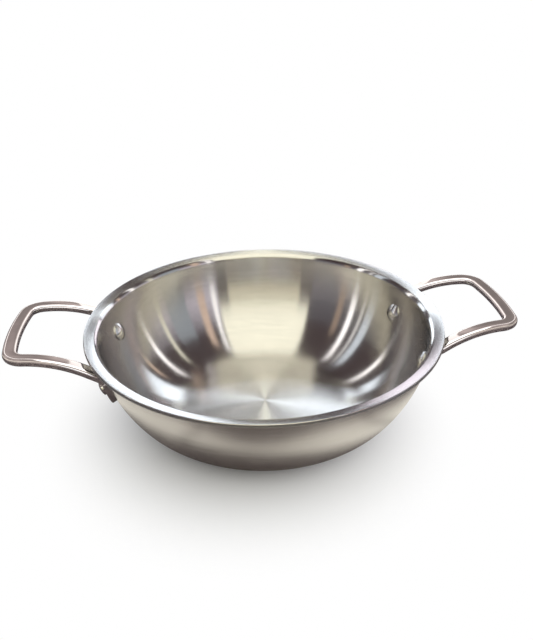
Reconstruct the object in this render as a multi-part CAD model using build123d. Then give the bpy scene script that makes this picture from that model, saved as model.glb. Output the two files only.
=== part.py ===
from build123d import *
from math import acos, asin, atan2, cos, degrees, radians, sin
import os

# A kadai: a round cooking bowl of three bonded layers with a flared lip and two riveted loop handles.
# Millimetres and degrees. The origin is the centre of the base's underside, +Z is up,
# and the handles lie along X. Slopes are measured upward from level.

# Bowl, as a section through its outside face
RIM_RADIUS = 110.0          # outermost circle of the lip
BOWL_HEIGHT = 65.0          # from what it stands on to the top of the lip
BASE_FLAT_RADIUS = 50.0     # flat disc in the middle of the base
LOWER_WALL_SLOPE = 56.0     # where the tight lower arc of the wall meets the open upper arc
NECK_SLOPE = 85.0           # of the wall just under the lip
LIP_SLOPE = 12.0            # of the flared lip
LIP_LENGTH = 5.4            # straight part of the lip, along its slope
LIP_BEND_RADIUS = 1.5       # outside face, in the corner under the lip

# Layers of the bonded sheet
INNER_STEEL = 0.4
ALUMINIUM_CORE = 1.2
OUTER_STEEL = 0.4
CORE_RECESS = 0.1           # how far the core stays behind the steel at the cut edge
RIM_EDGE_ROUND = 0.3        # on the two outer corners of the cut edge

# Rivets
RIVET_INSET = 2.0           # each rivet, on the inner face, stands nearer the middle than its arm
RIVET_DEPTH = 20.5          # from the top of the lip down to the rivet's centre
SHANK_DIAMETER = 5.0
SHANK_CLEARANCE = 0.1       # between the shank and the side of its hole
HEAD_DIAMETER = 11.5
HEAD_HEIGHT = 2.8
HEAD_EDGE = 0.9             # upright rim of the head, under its dome
TAIL_DIAMETER = 8.5
TAIL_HEIGHT = 2.0
TAIL_EDGE = 1.0             # upright rim of the formed tail, under its dome
SEAT_GAP = 0.05             # between any two curved faces that are clamped together

# Loop handles, along the middle of the bar
GRIP_DEPTH = 40.3           # from the lip's edge out to the middle of the bar
BAR_LIFT = 0.7              # middle of the bar above the top of the lip
BAR_WIDTH = 8.4
BAR_THICKNESS = 5.0
BAR_ROUND = 2.2             # corners of the bar's section
BAR_BOW_RADIUS = 170.0      # the bar curves gently outward
CORNER_RADIUS = 10.0
ARM_SPACING = 66.0          # between the two arms where they leave the corners
ARM_SPLAY = 5.4             # each arm spreads by this angle towards the bowl
ARM_DROP = 9.4              # how far an arm has come down by the side of the lip

# Lugs, the flattened ends of a handle
LUG_WIDTH = 14.5
LUG_THICKNESS = 3.0
LUG_RISE = 5.5              # from the rivet up to where the lug has its full width
LUG_DROP = 3.5              # from the rivet down to the centre of its round end
LUG_EDGE_ROUND = 0.8
LUG_ROUND_SHARE = 0.45      # most that a corner's radius takes of a section's width or thickness
ROOT_PULL = 4.0             # how straight the arm runs on into the curve that joins it to the lug

# Places of the lug's cross-sections: along the curve from the arm, down the straight sides, and as
# angles round the end
ROOT_SHARES = [0.2, 0.4, 0.6, 0.8]
LUG_SIDE_SHARES = [0.0, 0.33, 0.66]
LUG_END_ANGLES = [0, 22, 40, 56, 70, 81]

OVERRUN = 5.0               # spare length of anything that is there only to cut

# Worked out from the sizes above
RIVET_SPACING = ARM_SPACING - 2 * RIVET_INSET
WALL = INNER_STEEL + ALUMINIUM_CORE + OUTER_STEEL


def outward(slope):
    """Direction in section, square to the wall and away from the bowl, where the wall has this slope."""
    return Vector(sin(radians(slope)), -cos(radians(slope)))


def along(slope):
    """Direction in section, up along the wall, where the wall has this slope."""
    return Vector(cos(radians(slope)), sin(radians(slope)))


# Arcs of the outside face. The wall has two, and their radii are the pair that leads from the flat of
# the base to the neck without a kink.
RIM_CORNER = Vector(RIM_RADIUS, BOWL_HEIGHT) + Vector(0, -WALL * cos(radians(LIP_SLOPE)))
LIP_CENTRE = RIM_CORNER - along(LIP_SLOPE) * LIP_LENGTH + outward(LIP_SLOPE) * LIP_BEND_RADIUS
NECK = LIP_CENTRE - outward(NECK_SLOPE) * LIP_BEND_RADIUS
LOWER_TURN = outward(LOWER_WALL_SLOPE) - outward(0)
UPPER_TURN = outward(NECK_SLOPE) - outward(LOWER_WALL_SLOPE)
WALL_SPAN = NECK - Vector(BASE_FLAT_RADIUS, 0)
TURN_PRODUCT = LOWER_TURN.X * UPPER_TURN.Y - UPPER_TURN.X * LOWER_TURN.Y
LOWER_RADIUS = (WALL_SPAN.X * UPPER_TURN.Y - WALL_SPAN.Y * UPPER_TURN.X) / TURN_PRODUCT
UPPER_RADIUS = (WALL_SPAN.Y * LOWER_TURN.X - WALL_SPAN.X * LOWER_TURN.Y) / TURN_PRODUCT
LOWER_CENTRE = Vector(BASE_FLAT_RADIUS, LOWER_RADIUS)
UPPER_CENTRE = LOWER_CENTRE + outward(LOWER_WALL_SLOPE) * (LOWER_RADIUS - UPPER_RADIUS)


def wall_section(depth):
    """Edges from the axis to the neck, at a depth inward from the outside face."""
    flat_end = Vector(BASE_FLAT_RADIUS, depth)
    lower_middle = LOWER_CENTRE + outward(LOWER_WALL_SLOPE / 2) * (LOWER_RADIUS - depth)
    joint = LOWER_CENTRE + outward(LOWER_WALL_SLOPE) * (LOWER_RADIUS - depth)
    upper_middle = UPPER_CENTRE + outward((LOWER_WALL_SLOPE + NECK_SLOPE) / 2) * (UPPER_RADIUS - depth)
    neck = UPPER_CENTRE + outward(NECK_SLOPE) * (UPPER_RADIUS - depth)
    return [
        Line(Vector(0, depth), flat_end),
        ThreePointArc(flat_end, lower_middle, joint),
        ThreePointArc(joint, upper_middle, neck),
    ]


def lip_section(depth, recess):
    """Edges from the neck to the cut edge, at a depth inward from the outside face."""
    bend_radius = LIP_BEND_RADIUS + depth
    neck = LIP_CENTRE - outward(NECK_SLOPE) * bend_radius
    middle = LIP_CENTRE - outward((NECK_SLOPE + LIP_SLOPE) / 2) * bend_radius
    lip_start = LIP_CENTRE - outward(LIP_SLOPE) * bend_radius
    lip_end = RIM_CORNER - outward(LIP_SLOPE) * depth - along(LIP_SLOPE) * recess
    return [ThreePointArc(neck, middle, lip_start), Line(lip_start, lip_end)]


def layer(outside_depth, inside_depth, recess=0, round_depth=None):
    """One bonded sheet between two depths. The corner of its cut edge at round_depth is rounded."""
    outside = wall_section(outside_depth) + lip_section(outside_depth, recess)
    inside = wall_section(inside_depth) + lip_section(inside_depth, recess)
    cut_edge = Line(outside[-1] @ 1, inside[-1] @ 1)
    on_axis = Line(inside[0] @ 0, outside[0] @ 0)
    section = make_face(outside + inside + [cut_edge, on_axis])
    if round_depth is not None:
        corner = RIM_CORNER - outward(LIP_SLOPE) * round_depth
        section = fillet(section.vertices().sort_by_distance(corner)[0], RIM_EDGE_ROUND)
    return revolve(Plane.XZ * section, Axis.Z)


def bowl_fill(depth):
    """Solid that fills the bowl up to its face at this depth, carried straight on above the neck."""
    edges = wall_section(depth)
    neck = edges[-1] @ 1
    top = neck + along(NECK_SLOPE) * (BOWL_HEIGHT + OVERRUN - NECK.Y)
    on_axis = Vector(0, top.Y)
    edges += [Line(neck, top), Line(top, on_axis), Line(on_axis, edges[0] @ 0)]
    return revolve(Plane.XZ * make_face(edges), Axis.Z)


# Each rivet stands square to the wall, with its head on the inner face.
RIVET_SLOPE = degrees(acos((UPPER_CENTRE.Y - BOWL_HEIGHT + RIVET_DEPTH) / (UPPER_RADIUS - WALL)))
RIVET_SEAT = UPPER_CENTRE + outward(RIVET_SLOPE) * (UPPER_RADIUS - WALL)
RIVET_BEARING = degrees(asin(RIVET_SPACING / 2 / RIVET_SEAT.X))


def at_rivet_bearing(section_vector):
    """A point or direction of the section, turned about the axis to the right handle's back rivet."""
    return Vector(section_vector.X, 0, section_vector.Y).rotate(Axis.Z, RIVET_BEARING)


SIDEWAYS = Vector(0, 1, 0).rotate(Axis.Z, RIVET_BEARING)
RIVET_FRAME = Plane(
    origin=at_rivet_bearing(RIVET_SEAT),
    x_dir=SIDEWAYS * -1,
    z_dir=at_rivet_bearing(outward(RIVET_SLOPE)) * -1,
)


def button(diameter, edge, height, sink=0):
    """A round button on the XY plane: an upright edge under a dome, with its base sunk below the plane."""
    radius = diameter / 2
    edges = [
        Line((0, -sink), (radius, -sink)),
        Line((radius, -sink), (radius, edge)),
        TangentArc((0, height), (radius, edge), tangent=(1, 0)),
        Line((0, height), (0, -sink)),
    ]
    return revolve(Plane.XZ * make_face(edges), Axis.Z)


def rivet():
    """The right handle's back rivet: a head inside the bowl, a shank, and a tail on the lug."""
    blank = button(HEAD_DIAMETER, HEAD_EDGE, HEAD_HEIGHT, sink=OVERRUN)
    head = RIVET_FRAME * blank & bowl_fill(WALL + SEAT_GAP)
    grip_length = WALL + SEAT_GAP + LUG_THICKNESS + SEAT_GAP
    tail_frame = RIVET_FRAME.offset(-grip_length)
    tail = tail_frame * (Rot(180, 0, 0) * button(TAIL_DIAMETER, TAIL_EDGE, TAIL_HEIGHT))
    shank_length = HEAD_EDGE + grip_length + TAIL_EDGE
    shank = tail_frame.offset(-TAIL_EDGE) * extrude(Circle(SHANK_DIAMETER / 2), shank_length)
    return head + shank + tail


def rivet_hole():
    """Cutter for the hole of the right handle's back rivet, through the wall and the lug."""
    reach = WALL + SEAT_GAP + LUG_THICKNESS + OVERRUN
    hole = extrude(Circle(SHANK_DIAMETER / 2 + SHANK_CLEARANCE), reach + OVERRUN)
    return RIVET_FRAME.offset(-reach) * hole


# Middle line of the right handle's bar, on its back half. The bar bows outward, turns a round corner
# and runs level into the arm, which curves down beside the lip.
BAR_LEVEL = BOWL_HEIGHT + BAR_LIFT
BOW_CENTRE = Vector(RIM_RADIUS + GRIP_DEPTH - BAR_BOW_RADIUS, 0, BAR_LEVEL)
CORNER_SIDE = ARM_SPACING / 2 - CORNER_RADIUS * cos(radians(ARM_SPLAY))
BOW_HALF_ANGLE = degrees(asin(CORNER_SIDE / (BAR_BOW_RADIUS - CORNER_RADIUS)))


def level_direction(angle):
    """Level direction at this angle from +X."""
    return Vector(1, 0, 0).rotate(Axis.Z, angle)


CORNER_CENTRE = BOW_CENTRE + level_direction(BOW_HALF_ANGLE) * (BAR_BOW_RADIUS - CORNER_RADIUS)
ARM_START = CORNER_CENTRE + level_direction(90 - ARM_SPLAY) * CORNER_RADIUS
ARM_HEADING = level_direction(180 - ARM_SPLAY)
ARM_RUN = (ARM_START.X - NECK.X) / cos(radians(ARM_SPLAY))
ARM_END_SLOPE = 2 * degrees(atan2(ARM_DROP, ARM_RUN))
ARM_DROP_RADIUS = ARM_RUN / sin(radians(ARM_END_SLOPE))


def arm_point(slope):
    """Point of the arm's middle line where it slopes down by this angle."""
    reach = ARM_DROP_RADIUS * sin(radians(slope))
    fall = ARM_DROP_RADIUS - ARM_DROP_RADIUS * cos(radians(slope))
    return ARM_START + ARM_HEADING * reach + Vector(0, 0, -fall)


def bar_section():
    """Section of the bar on the XY plane, with its width along X."""
    return RectangleRounded(BAR_WIDTH, BAR_THICKNESS, BAR_ROUND)


def arm_end_plane():
    """Plane across the end of the right handle's back arm, facing down along it."""
    downward = ARM_HEADING * cos(radians(ARM_END_SLOPE)) + Vector(0, 0, -sin(radians(ARM_END_SLOPE)))
    return Plane(origin=arm_point(ARM_END_SLOPE), x_dir=level_direction(90 - ARM_SPLAY), z_dir=downward)


def grip():
    """The right handle's bar, corners and arms, as one swept rod."""
    corner_start = CORNER_CENTRE + level_direction(BOW_HALF_ANGLE) * CORNER_RADIUS
    corner_middle_angle = (BOW_HALF_ANGLE + 90 - ARM_SPLAY) / 2
    corner_middle = CORNER_CENTRE + level_direction(corner_middle_angle) * CORNER_RADIUS
    bar_middle = BOW_CENTRE + level_direction(0) * BAR_BOW_RADIUS
    back_points = [
        arm_point(ARM_END_SLOPE),
        arm_point(ARM_END_SLOPE / 2),
        ARM_START,
        corner_middle,
        corner_start,
    ]
    front_points = [Vector(point.X, -point.Y, point.Z) for point in reversed(back_points)]
    points = [*back_points, bar_middle, *front_points]
    path = Wire([ThreePointArc(*points[i:i + 3]) for i in range(0, len(points) - 2, 2)])
    return sweep(arm_end_plane() * bar_section(), path)


def blend(first, last, share):
    """Value that leads from the first to the last with no change of pace at either end."""
    eased = share * share * (3 - 2 * share)
    return first * (1 - eased) + last * eased


def lug_section(plane, width, inside, outside, corner_round):
    """Rounded section of a lug, reaching inside towards the bowl and outside away from it."""
    thickness = inside + outside
    corner = min(corner_round, width * LUG_ROUND_SHARE, thickness * LUG_ROUND_SHARE)
    return plane * (Pos(0, (outside - inside) / 2) * RectangleRounded(width, thickness, corner))


def lug_plane(rise):
    """Plane across the right handle's back lug, this far up the wall from the rivet."""
    slope = RIVET_SLOPE + degrees(rise / (UPPER_RADIUS - WALL))
    middle = UPPER_CENTRE + outward(slope) * (UPPER_RADIUS + SEAT_GAP + LUG_THICKNESS / 2)
    return Plane(origin=at_rivet_bearing(middle), x_dir=SIDEWAYS, z_dir=at_rivet_bearing(along(slope)) * -1)


def lug():
    """The right handle's back lug: the arm turns down, widens and follows the wall to a round end.

    Its sections run into the wall, so that it can be cut to the wall's face.
    """
    start = arm_end_plane()
    end = lug_plane(LUG_RISE)
    middle_line = Bezier(
        start.origin,
        start.origin + start.z_dir * ROOT_PULL,
        end.origin - end.z_dir * ROOT_PULL,
        end.origin,
    )
    lug_inside = LUG_THICKNESS / 2 + SEAT_GAP + WALL / 2
    lug_outside = LUG_THICKNESS / 2
    sections = [start * bar_section()]
    for share in ROOT_SHARES:
        heading = middle_line % share
        sideways = blend(start.x_dir, end.x_dir, share)
        across = sideways - heading * sideways.dot(heading)
        sections.append(lug_section(
            Plane(origin=middle_line @ share, x_dir=across, z_dir=heading),
            width=blend(BAR_WIDTH, LUG_WIDTH, share),
            inside=blend(BAR_THICKNESS / 2, lug_inside, share),
            outside=blend(BAR_THICKNESS / 2, lug_outside, share),
            corner_round=blend(BAR_ROUND, LUG_EDGE_ROUND, share),
        ))
    rises_and_widths = [(LUG_RISE - (LUG_RISE + LUG_DROP) * share, LUG_WIDTH) for share in LUG_SIDE_SHARES]
    for angle in LUG_END_ANGLES:
        drop = LUG_DROP + LUG_WIDTH / 2 * sin(radians(angle))
        rises_and_widths.append((-drop, LUG_WIDTH * cos(radians(angle))))
    for rise, width in rises_and_widths:
        sections.append(lug_section(lug_plane(rise), width, lug_inside, lug_outside, LUG_EDGE_ROUND))
    return loft(sections)


def handle():
    """The right handle: a bent rod whose two ends turn down into lugs that follow the wall."""
    back_lug = lug()
    hole = rivet_hole()
    rod = grip() + back_lug + mirror(back_lug, Plane.XZ)
    return rod - bowl_fill(-SEAT_GAP) - hole - mirror(hole, Plane.XZ)


def four_ways(shape):
    """The shape of the right back quarter and its three mirror images, with the names of their places."""
    left = mirror(shape, Plane.YZ)
    return {
        "right_back": shape,
        "right_front": mirror(shape, Plane.XZ),
        "left_back": left,
        "left_front": mirror(left, Plane.XZ),
    }


def build():
    """Every piece by its name."""
    core_depth = OUTER_STEEL
    inner_depth = OUTER_STEEL + ALUMINIUM_CORE
    pieces = {
        "outer_layer": layer(0, core_depth, round_depth=0),
        "core_layer": layer(core_depth, inner_depth, recess=CORE_RECESS),
        "inner_layer": layer(inner_depth, WALL, round_depth=WALL),
    }
    for hole in four_ways(rivet_hole()).values():
        for name in pieces:
            pieces[name] -= hole
    right_handle = handle()
    pieces["handle_right"] = right_handle
    pieces["handle_left"] = mirror(right_handle, Plane.YZ)
    for place, shape in four_ways(rivet()).items():
        pieces["rivet_" + place] = shape
    return pieces


os.makedirs("parts", exist_ok=True)
for name, shape in build().items():
    export_step(shape, "parts/" + name + ".step")
print("wall arcs: lower", round(LOWER_RADIUS, 2), "upper", round(UPPER_RADIUS, 2))
print("rivet slope", round(RIVET_SLOPE, 2), "bearing", round(RIVET_BEARING, 2))
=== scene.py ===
"""A round kadai with two riveted loop handles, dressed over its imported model.

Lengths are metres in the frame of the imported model: the origin is the centre of the base's
underside, +Z is up and the handles lie along X. Slopes and bearings are degrees.
"""
import logging
from dataclasses import dataclass, field
from enum import Enum
from math import acos, asin, atan2, cos, degrees, hypot, pi, radians, sin
from typing import Any

import bmesh
import bpy
from mathutils import Matrix, Vector


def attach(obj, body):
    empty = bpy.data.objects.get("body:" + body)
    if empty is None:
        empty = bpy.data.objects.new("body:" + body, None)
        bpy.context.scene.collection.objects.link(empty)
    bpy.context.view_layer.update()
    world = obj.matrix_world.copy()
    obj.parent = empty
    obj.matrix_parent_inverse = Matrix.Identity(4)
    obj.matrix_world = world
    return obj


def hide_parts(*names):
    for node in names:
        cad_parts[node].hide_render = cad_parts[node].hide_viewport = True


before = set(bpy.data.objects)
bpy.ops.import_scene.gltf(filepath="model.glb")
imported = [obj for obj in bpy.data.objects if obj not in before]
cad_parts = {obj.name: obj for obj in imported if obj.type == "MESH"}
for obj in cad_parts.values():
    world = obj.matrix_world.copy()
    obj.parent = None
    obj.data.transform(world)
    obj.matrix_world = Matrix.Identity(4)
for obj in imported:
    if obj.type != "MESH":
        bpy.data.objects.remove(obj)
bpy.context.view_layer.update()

LOG = logging.getLogger("kadai")
BODY = "root"
UP = Vector((0, 0, 1))
SEAM_GAP = 1e-6             # points of a turned mesh that are nearer than this become one
DOUBLE_GAP = 1e-7           # and so do points of a finished mesh
COARSE, FINE = 1.0, 3.0     # detail of soft and of fine noise
Triple = tuple[float, float, float]
Colour = Triple
Spot = tuple[Vector, Vector]
WHITE: Colour = (1.0, 1.0, 1.0)


class Signal:
    """One output of a node, with the arithmetic that adds Math nodes behind it."""

    def __init__(self, graph: "Graph", socket: bpy.types.NodeSocket) -> None:
        """Keeps the socket and the graph that it belongs to."""
        self.graph = graph
        self.socket = socket

    def __add__(self, other: "Signal | float") -> "Signal":
        """Sum of the two."""
        return self.graph.math("ADD", self, other)

    __radd__ = __add__

    def __mul__(self, other: "Signal | float") -> "Signal":
        """Product of the two."""
        return self.graph.math("MULTIPLY", self, other)

    __rmul__ = __mul__

    def __sub__(self, other: "Signal | float") -> "Signal":
        """This less the other."""
        return self.graph.math("SUBTRACT", self, other)

    def __rsub__(self, other: "Signal | float") -> "Signal":
        """The other less this."""
        return self.graph.math("SUBTRACT", other, self)

    def __truediv__(self, other: "Signal | float") -> "Signal":
        """This over the other."""
        return self.graph.math("DIVIDE", self, other)

    def __pow__(self, other: "Signal | float") -> "Signal":
        """This to the power of the other."""
        return self.graph.math("POWER", self, other)


class Graph:
    """A node tree, of a material, a world or geometry, that is written as expressions."""

    def __init__(self, tree: bpy.types.NodeTree) -> None:
        """Starts on an emptied tree."""
        self.tree = tree
        tree.nodes.clear()

    def node(self, kind: str, settings: dict[str, Any] | None = None,
             inputs: dict[int | str, Any] | None = None) -> bpy.types.Node:
        """Adds any node.

        Args:
            kind: the node's type name.
            settings: its own properties, which are set before its sockets.
            inputs: a value or a Signal for each socket, by name or number.

        Returns:
            The new node.
        """
        node = self.tree.nodes.new(kind)
        for name, value in (settings or {}).items():
            setattr(node, name, value)
        for name, value in (inputs or {}).items():
            if isinstance(value, Signal):
                self.tree.links.new(value.socket, node.inputs[name])
            else:
                node.inputs[name].default_value = value
        return node

    def signal(self, kind: str, output: int | str = 0, settings: dict[str, Any] | None = None,
               inputs: dict[int | str, Any] | None = None) -> Signal:
        """Adds any node and gives one of its outputs."""
        return Signal(self, self.node(kind, settings, inputs).outputs[output])

    def math(self, operation: str, *values: Signal | float) -> Signal:
        """Adds a Math node on these values."""
        return self.signal("ShaderNodeMath", 0, {"operation": operation}, dict(enumerate(values)))

    def clamped(self, value: Signal, low: float, high: float) -> Signal:
        """Gives the value's place between low and high, as 0 to 1."""
        return self.signal("ShaderNodeMapRange", 0, {"clamp": True, "interpolation_type": "SMOOTHSTEP"},
                           {"Value": value, "From Min": low, "From Max": high})

    def vector(self, x: Signal | float, y: Signal | float, z: Signal | float) -> Signal:
        """Joins three numbers to a vector."""
        return self.signal("ShaderNodeCombineXYZ", 0, None, {0: x, 1: y, 2: z})

    def place(self) -> Signal:
        """Gives the place in the piece's own frame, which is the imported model's."""
        return self.signal("ShaderNodeTexCoord", "Object")

    def distance(self, place: Signal, other: Triple) -> Signal:
        """Gives how far this place is from the other."""
        return self.signal("ShaderNodeVectorMath", "Value", {"operation": "DISTANCE"}, {0: place, 1: other})

    def mix_colour(self, share: Signal | float, first: Colour, second: Colour) -> Signal:
        """Blends two colours, from the first at share 0 to the second at share 1."""
        return self.signal("ShaderNodeMix", 2, {"data_type": "RGBA"},
                           {0: share, 6: (*first, 1.0), 7: (*second, 1.0)})

    def noise(self, place: Signal, scale: float = 1.0, detail: float = 2.0, rough: float = 0.5) -> Signal:
        """Adds soft noise from 0 to 1 at this place."""
        return self.signal("ShaderNodeTexNoise", 0, None,
                           {"Vector": place, "Scale": scale, "Detail": detail, "Roughness": rough})

    def bump(self, height: Signal, depth: float, strength: float) -> Signal:
        """Gives the direction square to a surface with this relief."""
        return self.signal("ShaderNodeBump", 0, None,
                           {"Strength": strength, "Distance": depth, "Height": height})

    def glow(self, colour: Colour, strength: Signal | float) -> Signal:
        """Gives an opaque glowing shader."""
        return self.signal("ShaderNodeEmission", 0, None, {"Color": (*colour, 1.0), "Strength": strength})

    def clear_glow(self, colour: Colour, strength: Signal | float) -> Signal:
        """Gives a glowing shader that lets what is behind it show."""
        clear = self.signal("ShaderNodeBsdfTransparent")
        return self.signal("ShaderNodeAddShader", 0, None, {0: clear, 1: self.glow(colour, strength)})


class Finish:
    """A surface finish, made into one material the first time that it is asked for."""

    name: str

    def shade(self, graph: Graph) -> Signal:
        """Adds the finish's nodes and gives its shader."""
        raise NotImplementedError

    def material(self) -> bpy.types.Material:
        """Makes the finish's material once.

        Returns:
            The material, new or from before.
        """
        made = bpy.data.materials.get(self.name)
        if made:
            return made
        made = bpy.data.materials.new(self.name)
        made.use_nodes = True
        graph = Graph(made.node_tree)
        graph.node("ShaderNodeOutputMaterial", None, {"Surface": self.shade(graph)})
        return made


@dataclass(frozen=True)
class TurnedSteel(Finish):
    """Steel brushed in circles about the bowl's axis."""

    name: str
    light: Colour
    dark: Colour
    roughness: float
    roughness_spread: float
    anisotropy: float = 1.0
    line_width: float = 0.00022
    band_width: float = 0.0021
    line_turn: float = 5.0
    band_turn: float = 1.6
    line_rough: float = 0.65
    band_rough: float = 0.6
    line_share: float = 0.6
    band_share: float = 0.2
    cloud_share: float = 0.2
    cloud_scale: float = 22.0
    contrast: tuple[float, float] = (0.36, 0.64)
    plain_middle: float = 0.002
    groove_depth: float = 0.0000025
    groove_strength: float = 0.35
    quarter_turn: float = 0.25
    base_haze: float = 0.0
    base_edge: tuple[float, float] = (0.048, 0.058)

    def shade(self, graph: Graph) -> Signal:
        """Adds fine lines and soft bands that run round the axis, in colour, gloss and relief.

        Args:
            graph: the material's tree.

        Returns:
            The shader.
        """
        coordinates = graph.place()
        split = graph.node("ShaderNodeSeparateXYZ", None, {0: coordinates})
        x, y, z = (Signal(graph, output) for output in split.outputs)
        radius = graph.math("SQRT", x * x + y * y)
        spread = graph.math("MAXIMUM", radius, self.plain_middle)
        across = radius + z
        lines = graph.noise(graph.vector(x / spread * self.line_turn, y / spread * self.line_turn,
                                         across / self.line_width), detail=FINE, rough=self.line_rough)
        bands = graph.noise(graph.vector(x / spread * self.band_turn, y / spread * self.band_turn,
                                         across / self.band_width), detail=FINE, rough=self.band_rough)
        cloud = graph.noise(coordinates, scale=self.cloud_scale, detail=FINE)
        pattern = graph.clamped(lines * self.line_share + bands * self.band_share + cloud * self.cloud_share,
                                *self.contrast)
        on_base = 1 - graph.clamped(radius, *self.base_edge)
        roughness = self.roughness + on_base * self.base_haze + (pattern - 0.5) * self.roughness_spread
        tangent = graph.signal("ShaderNodeTangent", 0, {"direction_type": "RADIAL", "axis": "Z"})
        return graph.signal("ShaderNodeBsdfPrincipled", 0, None, {
            "Base Color": graph.mix_colour(pattern, self.dark, self.light),
            "Metallic": 1.0,
            "Roughness": roughness,
            "Anisotropic": self.anisotropy,
            "Anisotropic Rotation": self.quarter_turn,
            "Tangent": tangent,
            "Normal": graph.bump(lines, self.groove_depth, self.groove_strength),
        })


@dataclass(frozen=True)
class PolishedSteel(Finish):
    """Mirror-polished steel with faint waves, cloudy wear and hairlines."""

    name: str
    light: Colour
    dark: Colour
    roughness: float = 0.07
    haze: float = 0.06
    wave_depth: float = 0.00025
    wave_strength: float = 0.5
    wave_scale: float = 55.0
    cloud_scale: float = 90.0
    cloud_share: float = 0.8
    hairline_turn: Triple = (0.3, 0.5, 0.9)
    hairline_scale: Triple = (120.0, 1100.0, 900.0)
    hairline_share: float = 0.2
    contrast: tuple[float, float] = (0.36, 0.68)

    def shade(self, graph: Graph) -> Signal:
        """Adds soft waves, cloudy wear and a few hairlines to a mirror.

        Args:
            graph: the material's tree.

        Returns:
            The shader.
        """
        coordinates = graph.place()
        waves = graph.noise(coordinates, scale=self.wave_scale, detail=COARSE)
        cloud = graph.noise(coordinates, scale=self.cloud_scale, detail=FINE)
        hairlines = graph.noise(graph.signal("ShaderNodeMapping", 0, None, {
            "Vector": coordinates, "Rotation": self.hairline_turn, "Scale": self.hairline_scale,
        }))
        worn = graph.clamped(cloud * self.cloud_share + hairlines * self.hairline_share, *self.contrast)
        return graph.signal("ShaderNodeBsdfPrincipled", 0, None, {
            "Base Color": graph.mix_colour(worn, self.light, self.dark),
            "Metallic": 1.0,
            "Roughness": self.roughness + worn * self.haze,
            "Normal": graph.bump(waves, self.wave_depth, self.wave_strength),
        })


@dataclass(frozen=True)
class SawnAluminium(Finish):
    """The cut edge of the aluminium core, dull and finely torn."""

    name: str
    light: Colour
    dark: Colour
    roughness: float = 0.42
    roughness_spread: float = 0.2
    tear_scale: float = 1400.0

    def shade(self, graph: Graph) -> Signal:
        """Adds a fine tear across a dull metal.

        Args:
            graph: the material's tree.

        Returns:
            The shader.
        """
        tear = graph.noise(graph.place(), scale=self.tear_scale, detail=FINE)
        return graph.signal("ShaderNodeBsdfPrincipled", 0, None, {
            "Base Color": graph.mix_colour(tear, self.dark, self.light),
            "Metallic": 1.0,
            "Roughness": self.roughness + tear * self.roughness_spread,
        })


@dataclass(frozen=True)
class PaleFloor(Finish):
    """A floor that the camera sees as white, darkened round the object by its real shadow and a painted one.

    The steel mirrors it as the dim table of the photograph.
    """

    name: str = "pale_floor"
    seen: Colour = (0.84, 0.87, 0.94)
    reflected: Colour = (0.21, 0.18, 0.2)
    # painted shadow: the centre and the two distances set where the floor's white glow fades out round the
    # object
    centre: Triple = (-0.012, -0.01, 0.0)
    painted_shadow_core: float = 0.045
    painted_shadow_edge: float = 0.135

    def shade(self, graph: Graph) -> Signal:
        """Adds a matt floor that glows white to the camera away from the object and paints a shadow near it.

        Args:
            graph: the material's tree.

        Returns:
            The shader.
        """
        from_camera = graph.signal("ShaderNodeLightPath", "Is Camera Ray")
        # painted shadow: the white glow fades out towards the object, so the floor there shows only its matt
        # lit colour, darker than white even where no shade falls
        share = graph.clamped(graph.distance(graph.place(), self.centre), self.painted_shadow_core, self.painted_shadow_edge)
        matt = graph.signal("ShaderNodeBsdfDiffuse", 0, None,
                            {"Color": graph.mix_colour(from_camera, self.reflected, self.seen)})
        return graph.signal("ShaderNodeMixShader", 0, None,
                            {0: share * from_camera, 1: matt, 2: graph.glow(WHITE, 1.0)})


@dataclass(frozen=True)
class Sheen(Finish):
    """A clear sheet with a pale ring of light, which the outside of the bowl mirrors."""

    name: str = "floor_sheen"
    colour: Colour = (1.0, 0.97, 0.86)
    radiance: float = 1.0
    centre: Triple = (-0.012, -0.01, 0.0)
    rise: tuple[float, float] = (0.088, 0.102)
    fall: tuple[float, float] = (0.104, 0.116)
    spread: float = 0.024
    dim_middle: float = -0.025
    dim_width: float = 0.095
    dim_share: float = 0.75
    gaps: tuple[float, ...] = (-0.077, 0.083)
    gap_width: float = 0.008
    gap_share: float = 0.5

    def shade(self, graph: Graph) -> Signal:
        """Adds the ring, narrower and dimmer in front of the bowl's middle, with two faint gaps.

        Args:
            graph: the material's tree.

        Returns:
            The shader.
        """
        distance = graph.distance(graph.place(), self.centre)
        x = graph.signal("ShaderNodeSeparateXYZ", 0, None, {0: graph.place()})
        aside = graph.clamped(graph.math("ABSOLUTE", x - self.dim_middle), 0.0, self.dim_width)
        inner = graph.clamped(distance, *self.rise)
        outer = graph.clamped(distance - aside * self.spread, *self.fall)
        ring = inner * (1 - outer) * (self.dim_share + aside * (1 - self.dim_share))
        for gap in self.gaps:
            off = graph.math("ABSOLUTE", x - gap)
            ring = ring * (1 - self.gap_share + graph.clamped(off, 0.0, self.gap_width) * self.gap_share)
        return graph.clear_glow(self.colour, ring * self.radiance)


class Steel(Enum):
    """The finishes of this kadai."""

    INSIDE = TurnedSteel("inner_brushed_steel", light=(0.64, 0.62, 0.605), dark=(0.55, 0.535, 0.52),
                         roughness=0.17, roughness_spread=0.035, base_haze=0.03)
    OUTSIDE = TurnedSteel("outer_brushed_steel", light=(0.64, 0.625, 0.6), dark=(0.52, 0.505, 0.48),
                          roughness=0.21, roughness_spread=0.06)
    CORE = SawnAluminium("core_aluminium", light=(0.5, 0.5, 0.5), dark=(0.3, 0.3, 0.3))
    HANDLE = PolishedSteel("polished_handle_steel", light=(0.72, 0.7, 0.68), dark=(0.6, 0.585, 0.57))
    RIVET = PolishedSteel("polished_rivet_steel", light=(0.74, 0.73, 0.71), dark=(0.62, 0.61, 0.6),
                          roughness=0.09, wave_depth=0.0001)


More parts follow.
